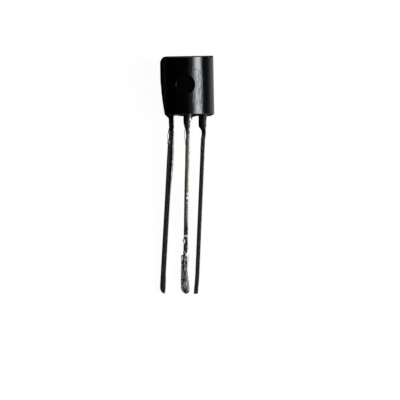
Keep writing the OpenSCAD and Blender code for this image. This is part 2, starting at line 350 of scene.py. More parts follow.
# Two square lamps beyond the part's two ends, by their places in the package's frame
END_LAMPS = {"back_lamp": (0, 300, 230), "front_lamp": (0, -300, 200)}
END_LAMP_SIZE = 130
END_LAMP_RADIANCE = 2.0
FLOOR_HALF = 1500  # half the side of the sheet of paper
PAPER_SHARE = 0.93  # share of even white in how the paper shows; the rest is lit and shadowed
PAPER_WHITE = 1.04  # radiance of that white
WORLD_DIM = 0.05  # strength of the world as a light

CAMERA_DISTANCE = 300
CAMERA_ROLL = 1
SENSOR_W = 36
VIEW_W = 32.79  # width of the view at the leads
VIEW_MIDDLE = (0.892, -6.92)  # X and Y at the middle of the view


# ------------------------------------------------------------------ placing and meshes


def rest_placement():
    """Turn about X and shift in mm that lay the package down as the flat_side mount says.

    They bring the middle of its flat to the mount's place, facing along the mount's axis.
    """
    mount = next(m for m in frame["record"]["mounts"] if m["name"] == "flat_side")
    tilt = math.asin(mount["axis"][1])
    cos, sin = math.cos(tilt), math.sin(tilt)
    turn = np.array([[1, 0, 0], [0, cos, -sin], [0, sin, cos]])
    flat_middle = np.array([0, CASE_H / 2, -FLAT_DEPTH])
    return turn, np.array(mount["pos_m"]) / MM - turn @ flat_middle


TURN, SHIFT = rest_placement()


def placed(points):
    """Points of the package, in mm, as metres of the frame."""
    return (np.asarray(points, float) @ TURN.T + SHIFT) * MM


def turns(sides):
    """Angles once round, evenly spaced."""
    return np.linspace(0, 2 * math.pi, sides + 1)[:-1]


def new_object(name, points, faces, material, values=None):
    """A smooth mesh object from points in metres. values are attributes, one number a point."""
    mesh = bpy.data.meshes.new(name)
    mesh.from_pydata(points.tolist(), [], faces)
    for key, numbers in (values or {}).items():
        mesh.attributes.new(key, "FLOAT", "POINT").data.foreach_set("value", numbers)
    mesh.materials.append(material)
    mesh.shade_smooth()
    piece = bpy.data.objects.new(name, mesh)
    bpy.context.scene.collection.objects.link(piece)
    return piece


def ring_faces(rings, sides):
    """Quads between neighbouring rings of points, and a fan of triangles that closes each end.

    The two fans meet in the last two points, which follow those of the rings.
    """
    row, k = np.meshgrid(np.arange(rings - 1) * sides, np.arange(sides), indexing="ij")
    following = (k + 1) % sides
    quads = np.stack([row + k, row + following, row + sides + following, row + sides + k], axis=-1)
    k, following = k[0], following[0]
    hub, last = np.full(sides, rings * sides), (rings - 1) * sides
    fans = np.stack([[hub, following, k], [hub + 1, last + k, last + following]])
    return quads.reshape(-1, 4).tolist() + fans.transpose(0, 2, 1).reshape(-1, 3).tolist()


def ring_solid(name, rings, hubs, material, values=None):
    """Closed solid through an array of rings in package mm, indexed by ring, point and coordinate.

    hubs are the middles of its first and last ring, and values are attributes of the rings' points.
    """
    count, sides, _ = rings.shape
    points = placed(np.concatenate([rings.reshape(-1, 3), hubs]))
    values = {key: np.append(v.ravel(), (v[0, 0], v[-1, 0])) for key, v in (values or {}).items()}
    return new_object(name, points, ring_faces(count, sides), material, values)


def stand_for(piece, node):
    """Rides the piece on the part's one body, in place of the CAD node and with its finish."""
    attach(piece, "root")
    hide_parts(node)


def lines(stops, step):
    """Numbers from the first stop to the last, through every stop, at most a step apart."""
    stretches = [
        np.linspace(a, b, max(1, math.ceil(abs(b - a) / step)), endpoint=False)
        for a, b in zip(stops, stops[1:])
    ]
    return np.append(np.concatenate(stretches), stops[-1])


def smooth_min(a, b, width):
    """The lower of a and b, with a parabola over the stretch where they are less than width apart."""
    share = np.clip(0.5 + 0.5 * (b - a) / width, 0, 1)
    return b + (a - b) * share - width * share * (1 - share)


def smooth_max(a, b, width):
    """The higher of a and b, joined in the same way."""
    return -smooth_min(-a, -b, width)


def eased(x, start, end):
    """Rises from 0 at start to 1 at end along 3x² - 2x³."""
    x = np.clip((x - start) / (end - start), 0, 1)
    return x * x * (3 - 2 * x)


# ------------------------------------------------------------------ materials


def linear(hex_colour):
    """Linear RGBA of an sRGB colour such as "#b8b7ae"."""
    channels = [int(hex_colour[i : i + 2], 16) / 255 for i in (1, 3, 5)]
    return [c / 12.92 if c < 0.04045 else ((c + 0.055) / 1.055) ** 2.4 for c in channels] + [1]


def add(tree, kind, inputs=None, output=None, **settings):
    """Adds a node with its settings and returns its output of that name, or its first one in use.

    inputs give each named or numbered socket a value, or the output that feeds it.
    """
    node = tree.nodes.new(kind)
    for name, value in settings.items():
        setattr(node, name, value)
    for key, value in (inputs or {}).items():
        named = isinstance(key, str)
        socket = next(s for s in node.inputs if s.name == key and s.enabled) if named else node.inputs[key]
        if isinstance(value, bpy.types.NodeSocket):
            tree.links.new(value, socket)
        else:
            socket.default_value = value
    return next((s for s in node.outputs if s.enabled and output in (None, s.name)), None)


def new_tree(name):
    """An empty material and its node tree."""
    material = bpy.data.materials.new(name)
    material.use_nodes = True
    material.node_tree.nodes.clear()
    return material, material.node_tree


def cells(*lengths):
    """Scale of a Mapping node that gives noise cells of these lengths in mm along X, Y and Z."""
    return [1 / (MM * length) for length in lengths]


def moulded_epoxy():
    """Black silica-filled epoxy, transfer-moulded in a polished steel cavity.

    The polish gives the round side a clear, slightly soft reflection. Handling has scuffed it with
    fine dull scratches along its length, 0.07 mm apart, the more the higher "scuffed" is, and
    "scratched" is 1 in the deep scratch across it. The filler gives it a grain of 0.12 mm, much
    coarser than the real one so that it shows.
    """
    material, tree = new_tree("moulded_epoxy")
    place = add(tree, "ShaderNodeTexCoord", output="Object")
    scuffed = add(tree, "ShaderNodeAttribute", attribute_name="scuffed", output="Fac")
    scratched = add(tree, "ShaderNodeAttribute", attribute_name="scratched", output="Fac")
    streaks = add(tree, "ShaderNodeMapping", {"Vector": place, "Scale": cells(0.07, 1.1, 0.07)})
    streaks = add(tree, "ShaderNodeTexNoise", {"Vector": streaks, "Scale": 1.0, "Detail": 4.0})
    streaks = add(tree, "ShaderNodeMapRange", {"Value": streaks, "From Min": 0.5, "From Max": 0.66})
    streaks = add(tree, "ShaderNodeMath", {0: streaks, 1: scuffed}, operation="MULTIPLY")
    worn = add(tree, "ShaderNodeMath", {0: streaks, 1: scratched}, operation="MAXIMUM")
    grain = add(tree, "ShaderNodeMapping", {"Vector": place, "Scale": cells(0.12, 0.12, 0.12)})
    grain = add(tree, "ShaderNodeTexNoise", {"Vector": grain, "Scale": 1.0, "Detail": 2.0})
    roughness = add(tree, "ShaderNodeMapRange", {"Value": worn, "To Min": 0.13, "To Max": 0.5})
    heights = add(tree, "ShaderNodeMath", {0: grain, 1: 0.12, 2: worn}, operation="MULTIPLY_ADD")
    bump = add(tree, "ShaderNodeBump", {"Height": heights, "Strength": 0.5, "Distance": 0.008 * MM})
    epoxy = {"Base Color": linear("#050506"), "Roughness": roughness, "IOR": 1.55, "Normal": bump}
    surface = add(tree, "ShaderNodeBsdfPrincipled", epoxy)
    add(tree, "ShaderNodeOutputMaterial", {"Surface": surface})
    return material


def tinned_copper():
    """Matte tin plated on a stamped copper alloy, dulled by age.

    The tin follows the rolled strip and is faintly streaked along it, 0.07 mm apart. Where "solder"
    is 1, solder froze over it with a mottled skin, in cells of 0.14 mm. Where the flux share is 1 the
    tin is painted pale: a crust of flux that has stayed, and partly a painted highlight. Where the
    resin share is 1 it is painted black: resin that bled over the tin when the case was moulded, and
    partly painted shade of the case beside the shoulders.
    """
    material, tree = new_tree("tinned_copper")
    place = add(tree, "ShaderNodeTexCoord", output="Object")
    solder = add(tree, "ShaderNodeAttribute", attribute_name="solder", output="Fac")
    flux_and_highlight = add(tree, "ShaderNodeAttribute", attribute_name="flux_and_highlight", output="Fac")
    resin_and_shade = add(tree, "ShaderNodeAttribute", attribute_name="resin_and_shade", output="Fac")
    rolled = add(tree, "ShaderNodeMapping", {"Vector": place, "Scale": cells(0.07, 1.2, 0.07)})
    rolled = add(tree, "ShaderNodeTexNoise", {"Vector": rolled, "Scale": 1.0, "Detail": 3.0})
    mottle = add(tree, "ShaderNodeMapping", {"Vector": place, "Scale": cells(0.14, 0.18, 0.14)})
    mottle = add(tree, "ShaderNodeTexNoise", {"Vector": mottle, "Scale": 1.0, "Detail": 3.0})
    tin = {"Factor": rolled, "A": linear("#6c6a61"), "B": linear("#89877c")}
    tin = add(tree, "ShaderNodeMix", tin, data_type="RGBA")
    skin = add(tree, "ShaderNodeMapRange", {"Value": mottle, "From Min": 0.4, "From Max": 0.6})
    frozen = {"Factor": skin, "A": linear("#30302d"), "B": linear("#94948f")}
    frozen = add(tree, "ShaderNodeMix", frozen, data_type="RGBA")
    metal_colour = {"Factor": solder, "A": tin, "B": frozen}
    metal_colour = add(tree, "ShaderNodeMix", metal_colour, data_type="RGBA")
    roughness = add(tree, "ShaderNodeMix", {"Factor": solder, "A": 0.27, "B": 0.38})
    relief = add(tree, "ShaderNodeMix", {"Factor": solder, "A": rolled, "B": mottle})
    depth = add(tree, "ShaderNodeMix", {"Factor": solder, "A": 0.05, "B": 1.0})
    heights = add(tree, "ShaderNodeMath", {0: relief, 1: depth}, operation="MULTIPLY")
    bump = add(tree, "ShaderNodeBump", {"Height": heights, "Strength": 1.0, "Distance": 0.09 * MM})
    metal = {"Base Color": metal_colour, "Metallic": 1.0, "Roughness": roughness, "Normal": bump}
    surface = add(tree, "ShaderNodeBsdfPrincipled", metal)
    crust = add(tree, "ShaderNodeBump", {"Height": mottle, "Strength": 1.0, "Distance": 0.008 * MM})
    black = {"Base Color": linear("#060605"), "Roughness": 0.22, "Normal": crust}
    black = add(tree, "ShaderNodeBsdfPrincipled", black)
    pale = {"Base Color": linear("#f4f3ee"), "Roughness": 0.6, "Normal": crust}
    pale = add(tree, "ShaderNodeBsdfPrincipled", pale)
    # Black resin, which is partly painted shade, and pale flux, which is partly a painted highlight, cover
    # the metal
    for share, cover in ((resin_and_shade, black), (flux_and_highlight, pale)):
        share = add(tree, "ShaderNodeMath", {0: mottle, 1: 0.5, 2: share}, operation="MULTIPLY_ADD")
        share = add(tree, "ShaderNodeMapRange", {"Value": share, "From Min": 0.55, "From Max": 0.85})
        surface = add(tree, "ShaderNodeMixShader", {0: share, 1: surface, 2: cover})
    add(tree, "ShaderNodeOutputMaterial", {"Surface": surface})
    return material


def inner_metal(name, dark, light, roughness, grain_size):
    """A metal inside the case, with a fine grain of two tones."""
    material, tree = new_tree(name)
    place = add(tree, "ShaderNodeTexCoord", output="Object")
    grain = add(tree, "ShaderNodeMapping", {"Vector": place, "Scale": cells(*grain_size)})
    grain = add(tree, "ShaderNodeTexNoise", {"Vector": grain, "Scale": 1.0, "Detail": 2.0})
    colour = {"Factor": grain, "A": linear(dark), "B": linear(light)}
    colour = add(tree, "ShaderNodeMix", colour, data_type="RGBA")
    bump = add(tree, "ShaderNodeBump", {"Height": grain, "Strength": 0.3, "Distance": 0.005 * MM})
    metal = {"Base Color": colour, "Metallic": 1.0, "Roughness": roughness, "Normal": bump}
    surface = add(tree, "ShaderNodeBsdfPrincipled", metal)
    add(tree, "ShaderNodeOutputMaterial", {"Surface": surface})
    return material


def polished_silicon():
    """Sawn and polished silicon: blue-grey, with a semi-metallic sheen."""
    material, tree = new_tree("polished_silicon")
    place = add(tree, "ShaderNodeTexCoord", output="Object")
    film = add(tree, "ShaderNodeMapping", {"Vector": place, "Scale": cells(0.2, 0.2, 0.05)})
    film = add(tree, "ShaderNodeTexNoise", {"Vector": film, "Scale": 1.0, "Detail": 2.0})
    colour = {"Factor": film, "A": linear("#4d5568"), "B": linear("#687086")}
    colour = add(tree, "ShaderNodeMix", colour, data_type="RGBA")
    silicon = {"Base Color": colour, "Metallic": 0.6, "Roughness": 0.18}
    surface = add(tree, "ShaderNodeBsdfPrincipled", silicon)
    add(tree, "ShaderNodeOutputMaterial", {"Surface": surface})
    return material


# ------------------------------------------------------------------ case


def case_section():
    """The D-shaped section as arrays over its columns, once round it.

    A column's point is its centre plus its radius along its normal, which stands at the angle phi
    from Z towards X. The round side keeps the centre at the origin, each fillet has its own, and
    along the flat the centre slides from one fillet to the other.
    """
    inner = CASE_R - FLAT_EDGE_R
    fillet_z = FLAT_EDGE_R - FLAT_DEPTH
    fillet_x = math.sqrt(inner**2 - fillet_z**2)
    turn_in = math.pi / 2 - math.asin(fillet_z / inner)
    mark = [math.asin((MARK_X + r) / CASE_R) for r in MARK_RINGS]
    round_phi = lines([-turn_in, -math.pi / 2, *mark, math.pi / 2, turn_in], COLUMN_STEP)
    fillet_phi = np.linspace(turn_in, math.pi, FILLET_POINTS + 2)[1:-1]
    flat_x = np.linspace(fillet_x, -fillet_x, FLAT_POINTS)
    phi = np.concatenate([round_phi, fillet_phi, 0 * flat_x + math.pi, -fillet_phi[::-1]])
    beside = np.full(FILLET_POINTS, fillet_x)
    centre_x = np.concatenate([0 * round_phi, beside, flat_x, -beside])
    centre_z = np.where(np.abs(phi) > turn_in, fillet_z, 0.0)
    return phi, centre_x, centre_z, np.where(centre_z < 0, FLAT_EDGE_R, CASE_R) - TIGHT


def drawn_back(y, left):
    """How far a flank stands back at heights y, with its corners' rounding and on the left its wear.

    A corner of radius r stands back r - sqrt(r^2 - (r - t)^2) at a distance t from the end, and the
    wear grows as a parabola from its upper end down to the lower corner.
    """
    upper_r = UPPER_LEFT_R + CORNER_WEAR if left else UPPER_RIGHT_R
    back = 0 * y
    for corner_r, t in ((LOWER_CORNER_R, y), (upper_r, CASE_H - y)):
        t = np.clip(t, 0, corner_r)
        back += corner_r - np.sqrt(corner_r**2 - (corner_r - t) ** 2)
    if left:
        back += WORN_DEPTH * np.clip((WORN_LEN - y) / (WORN_LEN - LOWER_CORNER_R), 0, 1) ** 2
    return back


def case_points(section, inset, y):
    """Points of the section drawn in by an inset, at heights y, and no further out than the flanks.

    Where a flank stands back, its edge with the round side is softened over FLANK_EDGE_R.
    """
    phi, centre_x, centre_z, radius = section
    x = centre_x + (radius - inset) * np.sin(phi)
    z = centre_z + (radius - inset) * np.cos(phi)
    for side in (-1, 1):
        back = drawn_back(y, side < 0)
        reach = CASE_R - back - inset + np.maximum(FLANK_EDGE_R - back, 0)
        x = side * smooth_min(side * x, reach, FLANK_EDGE_R)
    return np.stack([x, y + 0 * x, z + 0 * y], axis=-1)


def worn_up(x):
    """How far the lower end of the case is worn up at the places x: eased from nothing to LOWER_WEAR."""
    return LOWER_WEAR * eased(-x, *LOWER_WEAR_X)


def case_end(section, end_y, inwards, draft):
    """Rings from the middle of an end to the level ones of the sides, and that middle.

    inwards is 1 for the lower end and -1 for the upper one, and draft is the slope of its round
    half. The end slopes back on both sides of the plane of the leads, and the lower one is worn up
    on the left. Round its edge, with the rounding r and the angle a, the inset is r (1 - cos a) and
    the step from the end r (1 - sin a). Inside the edge the rings shrink to the middle of the end.
    """
    phi, centre_x, centre_z, radius = section
    angle = np.linspace(math.pi / 2, 0, EDGE_RINGS)[:, None]
    inset = END_EDGE_R * (1 - np.cos(angle)) + 0 * phi
    z = centre_z + (radius - inset) * np.cos(phi)
    slope = np.where(z > 0, math.tan(draft), math.tan(END_DRAFT))
    rounding = END_EDGE_R * (1 - np.sin(angle))
    step = np.abs(z) * slope + rounding
    if inwards > 0:
        x = centre_x + radius * np.sin(phi)
        step = np.maximum(step, worn_up(x) + rounding)
    share = np.linspace(0, 1, BLEND_RINGS + 2)[1:-1, None] ** 2
    side_step = step[-1] + (LEVEL_FROM - step[-1]) * share
    insets = np.concatenate([inset, 0 * side_step])
    outer = case_points(section, insets, end_y + inwards * np.concatenate([step, side_step]))
    middle = np.array([0, end_y, 0])
    cap = middle + (outer[0] - middle) * np.linspace(0, 1, CAP_RINGS + 2)[1:-1, None, None]
    return np.concatenate([cap, outer]), middle


def press_mark(points):
    """Presses the ejector mark into points of the round side, in place.

    The square rings of the grid round its middle are drawn in to circles: a point at the offset p
    moves to p max(|px|, |py|) / |p|, fully in the mark and less and less out to MARK_PULL_R. The
    surface is then the lower of the round side and a flat floor with a steep wall round it.
    """
    middle = np.array([MARK_X, MARK_Y])
    offset = points[..., :2] - middle
    ring = np.abs(offset).max(axis=-1)
    distance = np.hypot(offset[..., 0], offset[..., 1])
    drawn = 1 - eased(ring, MARK_CLEAR, MARK_PULL_R)
    distance[distance == 0] = 1  # the middle itself stays where it is
    offset *= (1 - drawn + drawn * ring / distance)[..., None]
    distance = np.hypot(offset[..., 0], offset[..., 1])
    points[..., :2] = middle + offset
    crown = np.sqrt(CASE_R**2 - points[..., 0] ** 2)
    wall = np.maximum(distance - (MARK_R - MARK_WALL), 0) / MARK_WALL * MARK_WALL_H
    points[..., 2] = smooth_min(crown, CASE_R - MARK_DEPTH + wall, MARK_EDGE_R)


def case_wear(points):
    """Attributes of the epoxy: a scratch across the round side, scuffs below it and a dull spot.

    The scratch falls along X by the power SCRATCH_CURVE. It and the spot fade as exp(-d^2), with the
    distance d in widths of the scratch or radii of the spot. The ejector mark isn't scuffed.
    """
    x, y, z = np.moveaxis(points, -1, 0)
    (x0, y0), (x1, y1) = SCRATCH_FROM, SCRATCH_TO
    along = (x - x0) / (x1 - x0)
    edge = y0 + (y1 - y0) * np.clip(along, 0, 1) ** SCRATCH_CURVE
    scratched = np.exp(-(((y - edge) / SCRATCH_W) ** 2)) * ((along > 0) & (along < 1) & (z > 0))
    rubbed = np.hypot(x - RUBBED[0], y - RUBBED[1]) / RUBBED_R
    scratched += RUBBED_SHARE * np.exp(-(rubbed**2)) * (z > 0)
    in_mark = 1 - eased(np.hypot(x - MARK_X, y - MARK_Y), MARK_R, MARK_CLEAR)
    low, high = SCUFFED_X
    band = eased(x, low - SCUFF_FADE, low + SCUFF_FADE) * (z > 0)
    band = band * (1 - eased(x, high - SCUFF_FADE, high + SCUFF_FADE))
    scuffed = SCUFF_LEAST + (1 - SCUFF_LEAST) * band
    scuffed *= (1 - eased(y, edge - SCUFF_FADE, edge + SCUFF_FADE)) * (1 - in_mark)
    return {"scratched": scratched, "scuffed": scuffed}


def build_case(material):
    """The case: its lower end, its sides with the ejector mark, and its upper end."""
    section = case_section()
    lower, lower_middle = case_end(section, 0, 1, LOWER_DRAFT)
    upper, upper_middle = case_end(section, CASE_H, -1, UPPER_DRAFT)
    mark_y = [MARK_Y + r for r in MARK_RINGS]
    side_y = lines([LEVEL_FROM, *mark_y, CASE_H - LEVEL_FROM], RING_STEP)[:, None]
    sides = case_points(section, 0 * side_y, side_y)
    on_crown = np.flatnonzero(np.abs(section[0]) < MARK_REACH)
    crown = sides[:, on_crown]
    press_mark(crown)
    sides[:, on_crown] = crown
    rings = np.concatenate([lower, sides, upper[::-1]])
    middles = [lower_middle, upper_middle]
    piece = ring_solid("moulded_case", rings, middles, material, case_wear(rings))
    piece.data.set_sharp_from_angle(angle=CASE_SHARP)
    stand_for(piece, "case")


def build_flash(material):
    """Thin plastic squeezed out along the mould's parting line, below the lower end of the case.

    Its section is an ellipse FLASH_T thick. It hangs from the worn end by an uneven fringe: two
    crossing waves along X, and lumps that fade as exp(-d^2) with the distance d in widths.
    """
    x = lines(FLASH_X, FLASH_STEP)
    fringe = FRINGE + FRINGE_WAVE * sum(np.sin(along * x + start) for along, start in FRINGE_WAVES)
    for at, length, width in FLASH_LUMPS:
        fringe += length * np.exp(-(((x - at) / width) ** 2))
    angle = turns(ROD_SIDES)
    up = (1 + np.cos(angle)) / 2
    low, high = worn_up(x) - np.maximum(fringe, FRINGE_LEAST), worn_up(x) + FLASH_ROOT
    y = low[:, None] + (high - low)[:, None] * up
    z = FLASH_T / 2 * np.sin(angle) + 0 * y
    rings = np.stack([x[:, None] + 0 * y, y, z], axis=-1)
    piece = ring_solid("parting_flash", rings[::-1], rings[[-1, 0]].mean(axis=1), material)
    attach(piece, "root")


# ------------------------------------------------------------------ leads


def lead_section():
    """A rounded rectangle once round it: the signs of each point's corner, and its normal.

    Along a side the signs slide from those of one corner to those of the next.
    """
    corners = np.array([(1, 1), (-1, 1), (-1, -1), (1, -1)])
    arc = np.linspace(0, math.pi / 2, ARC_POINTS)
    slide = np.linspace(0, 1, SIDE_POINTS + 2)[1:-1, None]
    signs, angles = [], []
    for k, (corner, following) in enumerate(zip(corners, np.roll(corners, -1, axis=0))):
        signs += [np.repeat([corner], ARC_POINTS, axis=0), corner + (following - corner) * slide]
        angles += [arc + k * math.pi / 2, np.full(SIDE_POINTS, (k + 1) * math.pi / 2)]
    angle = np.concatenate(angles)
    return np.concatenate(signs).T, np.stack([np.cos(angle), np.sin(angle)])


def lean_shift(s, lean):
    """How far a leaning lead has moved to the left at a distance s below the case."""
    return np.maximum(s - BEND_S, 0) * math.tan(math.radians(lean))


def spots(s, turn, places):
    """Sum of Gaussian spots at distances s below the case and turns in degrees from Z.

    A place is its distance below the case, its turn, its height, its length and its spread round
    the lead in degrees. It fades as exp(-d^2), with the distance d in lengths and spreads.
    """
    total = np.zeros(np.broadcast(s, turn).shape)
    for at, at_turn, height, length, spread in places:
        away = (turn - at_turn + 180) % 360 - 180
        total += height * np.exp(-(((s - at) / length) ** 2) - (away / spread) ** 2)
    return total


def build_lead(name, node, material, plan, marks, slope=0, coat=None, slant=0, power=SLANT_POWER):
    """A closed lead through slightly crowned, rounded rectangles.

    plan holds the rings' heights and their left and right edges, and marks the places of lumps, of
    pale flux that is partly a painted highlight, and of black resin that is partly painted shade.
    Lumps stand out along the section's normals. slope raises each ring to the right, which turns a
    leaning lead's cut square to it. coat holds, for each ring, the share of solder coat, half the
    section's thickness and the share of the ledge along the coat's left side.

    The upper face is worn down to the right: at the share u of the width w it has fallen by
    slant w u^power / power, so its slope at the right edge is slant, and the wear fades to none at
    mid thickness. At the ledge the section rises LEDGE_FOOT times as fast as its own side, up to a
    plane that rises to the left from LEDGE_Z.
    """
    (sign_x, sign_z), (normal_x, normal_z) = lead_section()
    y, left, right = (v[:, None] for v in plan)
    half_w, middle = (right - left) / 2, (left + right) / 2
    plain = (0 * y, LEAD_T / 2 + 0 * y, 0 * y)
    coated, half_t, ledge = plain if coat is None else (v[:, None] for v in coat)
    least = np.minimum(half_w, half_t)
    corner_r = np.minimum(LEAD_EDGE_R, LEAD_EDGE_MOST * least) * (1 - coated)
    corner_r += COAT_ROUND * least * coated
    x = sign_x * (half_w - corner_r) + normal_x * corner_r
    z = sign_z * (half_t - corner_r) + normal_z * corner_r
    crown = LEAD_CROWN * np.minimum(2 * half_w / CROWN_FULL_W, 1) * (1 - coated)
    z -= crown * sign_z * (x / half_w) ** 2
    turn = np.degrees(np.arctan2(x, z))
    lumps, flux_and_highlight, resin_and_shade = (spots(-y, turn, places) for places in marks)
    swell = lumps + coated * coat_ripple(-y, np.radians(turn))
    x, z = x + swell * normal_x, z + swell * normal_z
    across = np.maximum(x / half_w + 1, 0) / 2
    z -= slant * 2 * half_w * across**power / power * np.clip(z / half_t, 0, 1)
    plane = LEDGE_Z + LEDGE_RISE * (LEDGE_X - x)
    lowered = z + ledge * (smooth_min(LEDGE_FOOT * z, plane, LEDGE_SOFT) - z)
    z = np.where((x < LEDGE_X) & (z > 0), lowered, z)
    points = np.stack([middle + x, y + slope * x, z], axis=-1)
    values = {
        "solder": np.clip(lumps / SOLDERED + coated, 0, 1),
        "flux_and_highlight": np.clip(flux_and_highlight, 0, 1),
        "resin_and_shade": np.clip(resin_and_shade, 0, 1),
    }
    hubs = points[[0, -1]].mean(axis=1)
    piece = ring_solid(name, points, hubs, material, values)
    piece.data.set_sharp_from_angle(angle=LEAD_SHARP)
    stand_for(piece, node)


def coat_ripple(s, turn):
    """Dimples of the solder coat: crossing waves, and a groove along its upper left side.

    The waves are sines of the distance s below the case and of the turn from Z, in radians, and
    reach from nothing down to twice COAT_RIPPLE. The groove fades as exp(-d^2) across it.
    """
    waves = sum(np.sin(along * s + about * turn + start) for along, about, start in COAT_WAVES)
    groove = np.exp(-(((turn - GROOVE_TURN) / GROOVE_SPREAD) ** 2))
    return COAT_RIPPLE * (waves / len(COAT_WAVES) - 1 - GROOVE_DEPTH * groove)


def build_whisker(name, place, material):
    """A sliver of solder that bows off a lead's left edge between two places below the case.

    At the share u of its length it stands off by the square root of sin(pi u), times WHISKER_LIFT.
    """
    edge_x, start, end = place
    share = np.linspace(0, 1, WHISKER_RINGS)[:, None]
    angle = turns(ROD_SIDES)
    s = start + (end - start) * share
    out = WHISKER_LIFT * np.sqrt(np.sin(math.pi * share).clip(0))
    x = edge_x - out + WHISKER_R * np.cos(angle)
    rings = np.stack([x, -s + 0 * x, WHISKER_R * np.sin(angle) + 0 * x], axis=-1)
    values = {"solder": np.ones(rings.shape[:2])}
    piece = ring_solid(name, rings, rings[[0, -1]].mean(axis=1), material, values)
    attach(piece, "root")


def post_edges(side):
    """Height, left and right of a bond post and the neck below it, mirrored for side -1."""
    rows = [
        (POST_TOP, POST_INNER + POST_CUT, POST_OUTER - POST_CUT),
        (POST_TOP - POST_CUT, POST_INNER, POST_OUTER),
        (POST_BOTTOM + POST_CUT, POST_INNER, POST_OUTER),
        (POST_BOTTOM, POST_INNER + POST_CUT, POST_OUTER - POST_CUT),
        (POST_BOTTOM - SKIM, LEAD_SPACING - NECK_W / 2, LEAD_SPACING + NECK_W / 2),
    ]
    return [(y, *sorted((side * a, side * b))) for y, a, b in rows]


def stem_edges(x, shoulder_w, w, offset, lean, length):
    """Height, left and right from the lower end of the neck, through root and shoulder, to the tip."""
    rows = [
        (ROOT_H + SHOULDER_STEP, x, NECK_W),
        (ROOT_H, x, shoulder_w),
        (-SHOULDER_LEN, x, shoulder_w),
    ]
    for s in (LEAD_S, length):
        rows.append((-s, x + offset - lean_shift(s, lean), w))
    return [(y, middle - wide / 2, middle + wide / 2) for y, middle, wide in rows]


def edges_at(rows, bites):
    """Rings' heights and the left and right edge there: straight between the rows, then bitten.

    At a distance d from its place a bite of the length l moves the edges by its shifts over
    1 + (d / l)^4.
    """
    stops, left, right = np.array(rows).T
    y = lines(stops, LEAD_RING_STEP)
    left, right = np.interp(-y, -stops, left), np.interp(-y, -stops, right)
    for at, length, left_shift, right_shift in bites:
        share = 1 / (1 + ((-y - at) / length) ** 4)
        left += left_shift * share
        right += right_shift * share
    return y, left, right


def build_base_lead(material):
    """The base lead, which ends in a slanting cut.

    There its left edge curves in to the right one as a quarter ellipse, which stops just short of
    its end so that the last ring keeps some width.
    """
    stem = stem_edges(-LEAD_SPACING, BASE_SHOULDER_W, BASE_W, BASE_OFFSET, BASE_LEAN, BASE_LEN)
    y, left, right = edges_at(post_edges(-1) + stem, BASE_BITES)
    into = np.clip((-y - BASE_LEN) / BASE_CUT_LEN + 1, 0, BASE_CUT_END)
    left = right - (right - left) * np.sqrt(1 - into**2)
    marks = (BASE_LUMPS, BASE_FLUX_AND_HIGHLIGHT, BASE_RESIN_AND_SHADE)
    build_lead("base_stem", "base_lead", material, (y, left, right), marks)


def build_emitter_lead(material):
    """The emitter lead, cut square across and worn to a slant on its shoulder."""
    stem = stem_edges(
        LEAD_SPACING, EMITTER_SHOULDER_W, EMITTER_W, EMITTER_OFFSET, EMITTER_LEAN, LEAD_LEN
    )
    plan = edges_at(post_edges(1) + stem, EMITTER_BITES)
    s = -plan[0][:, None]
    slope = math.tan(math.radians(EMITTER_LEAN)) * eased(s, LEAD_LEN - EMITTER_CUT_LEN, LEAD_LEN)
    slant = math.tan(math.radians(EMITTER_SLANT)) * (1 - eased(s, SHOULDER_LEN, LEAD_S))
    marks = (EMITTER_LUMPS, [], EMITTER_RESIN_AND_SHADE)
    build_lead("emitter_stem", "emitter_lead", material, plan, marks, slope, slant=slant)


def build_collector_lead(material):
    """The collector lead carries the paddle at one end and a swollen coat of solder on the other.

    The coat's width and thickness follow a quarter circle from the tip and a plain stretch. Its
    thickness then eases down to the lead's, and its width steps down to it. Near its tip it bends to
    the right, and the worn slope of the upper face ends where the coat starts.
    """
    half = PADDLE_W / 2
    paddle = [
        (PADDLE_TOP, half - PADDLE_CUT),
        (PADDLE_TOP - PADDLE_CUT, half),
        (PADDLE_BOTTOM + PADDLE_CUT, half),
        (PADDLE_BOTTOM, half - PADDLE_CUT),
        (PADDLE_BOTTOM - SKIM, NECK_W / 2),
    ]
    stem = stem_edges(
        0, COLLECTOR_SHOULDER_W, COLLECTOR_W, COLLECTOR_OFFSET, COLLECTOR_LEAN, LEAD_LEN
    )
    y, left, right = edges_at([(y, -w, w) for y, w in paddle] + stem, COLLECTOR_BITES)
    from_tip = LEAD_LEN + y
    cap = np.sqrt(1 - (1 - np.clip(from_tip / TIP_LEN, TIP_LEAST, 1)) ** 2)
    taper = 1 - eased(from_tip, COAT_LEN - COAT_TAPER, COAT_LEN)
    start = 1 - eased(from_tip, COAT_LEN - COAT_START, COAT_LEN)
    coat_half_w = COAT_W / 2 - COAT_SLIM * eased(from_tip, *COAT_SLIM_FROM)
    lead_inside = from_tip >= COAT_T / 2
    half_w = smooth_max(coat_half_w * cap * start, (right - left) / 2 * lead_inside, COAT_JOIN)
    half_t = smooth_max(COAT_T / 2 * cap * taper, LEAD_T / 2 * lead_inside, COAT_JOIN)
    middle = (left + right) / 2 + COAT_OFFSET * start
    for shift, full_at, none_at in TIP_BENDS:
        middle += shift * (1 - eased(from_tip, full_at, none_at))
    below_shoulder = eased(-y, SLANT_FROM, LEAD_S)
    slant = SHOULDER_SLANT + (SLANT - SHOULDER_SLANT) * below_shoulder
    slant *= (1 - sum(share * eased(-y, *span) for share, *span in SLANT_FADES)) * (1 - taper)
    power = SHOULDER_POWER + (SLANT_POWER - SHOULDER_POWER) * below_shoulder
    ledge = eased(from_tip, *LEDGE_FROM) * start
    build_lead(
        "collector_stem",
        "collector_lead",
        material,
        (y, middle - half_w, middle + half_w),
        (COLLECTOR_LUMPS, COLLECTOR_FLUX_AND_HIGHLIGHT, COLLECTOR_RESIN_AND_SHADE),
        coat=(taper, half_t, ledge),
        slant=np.tan(np.radians(slant))[:, None],
        power=power[:, None],
    )


# ------------------------------------------------------------------ pieces inside the case


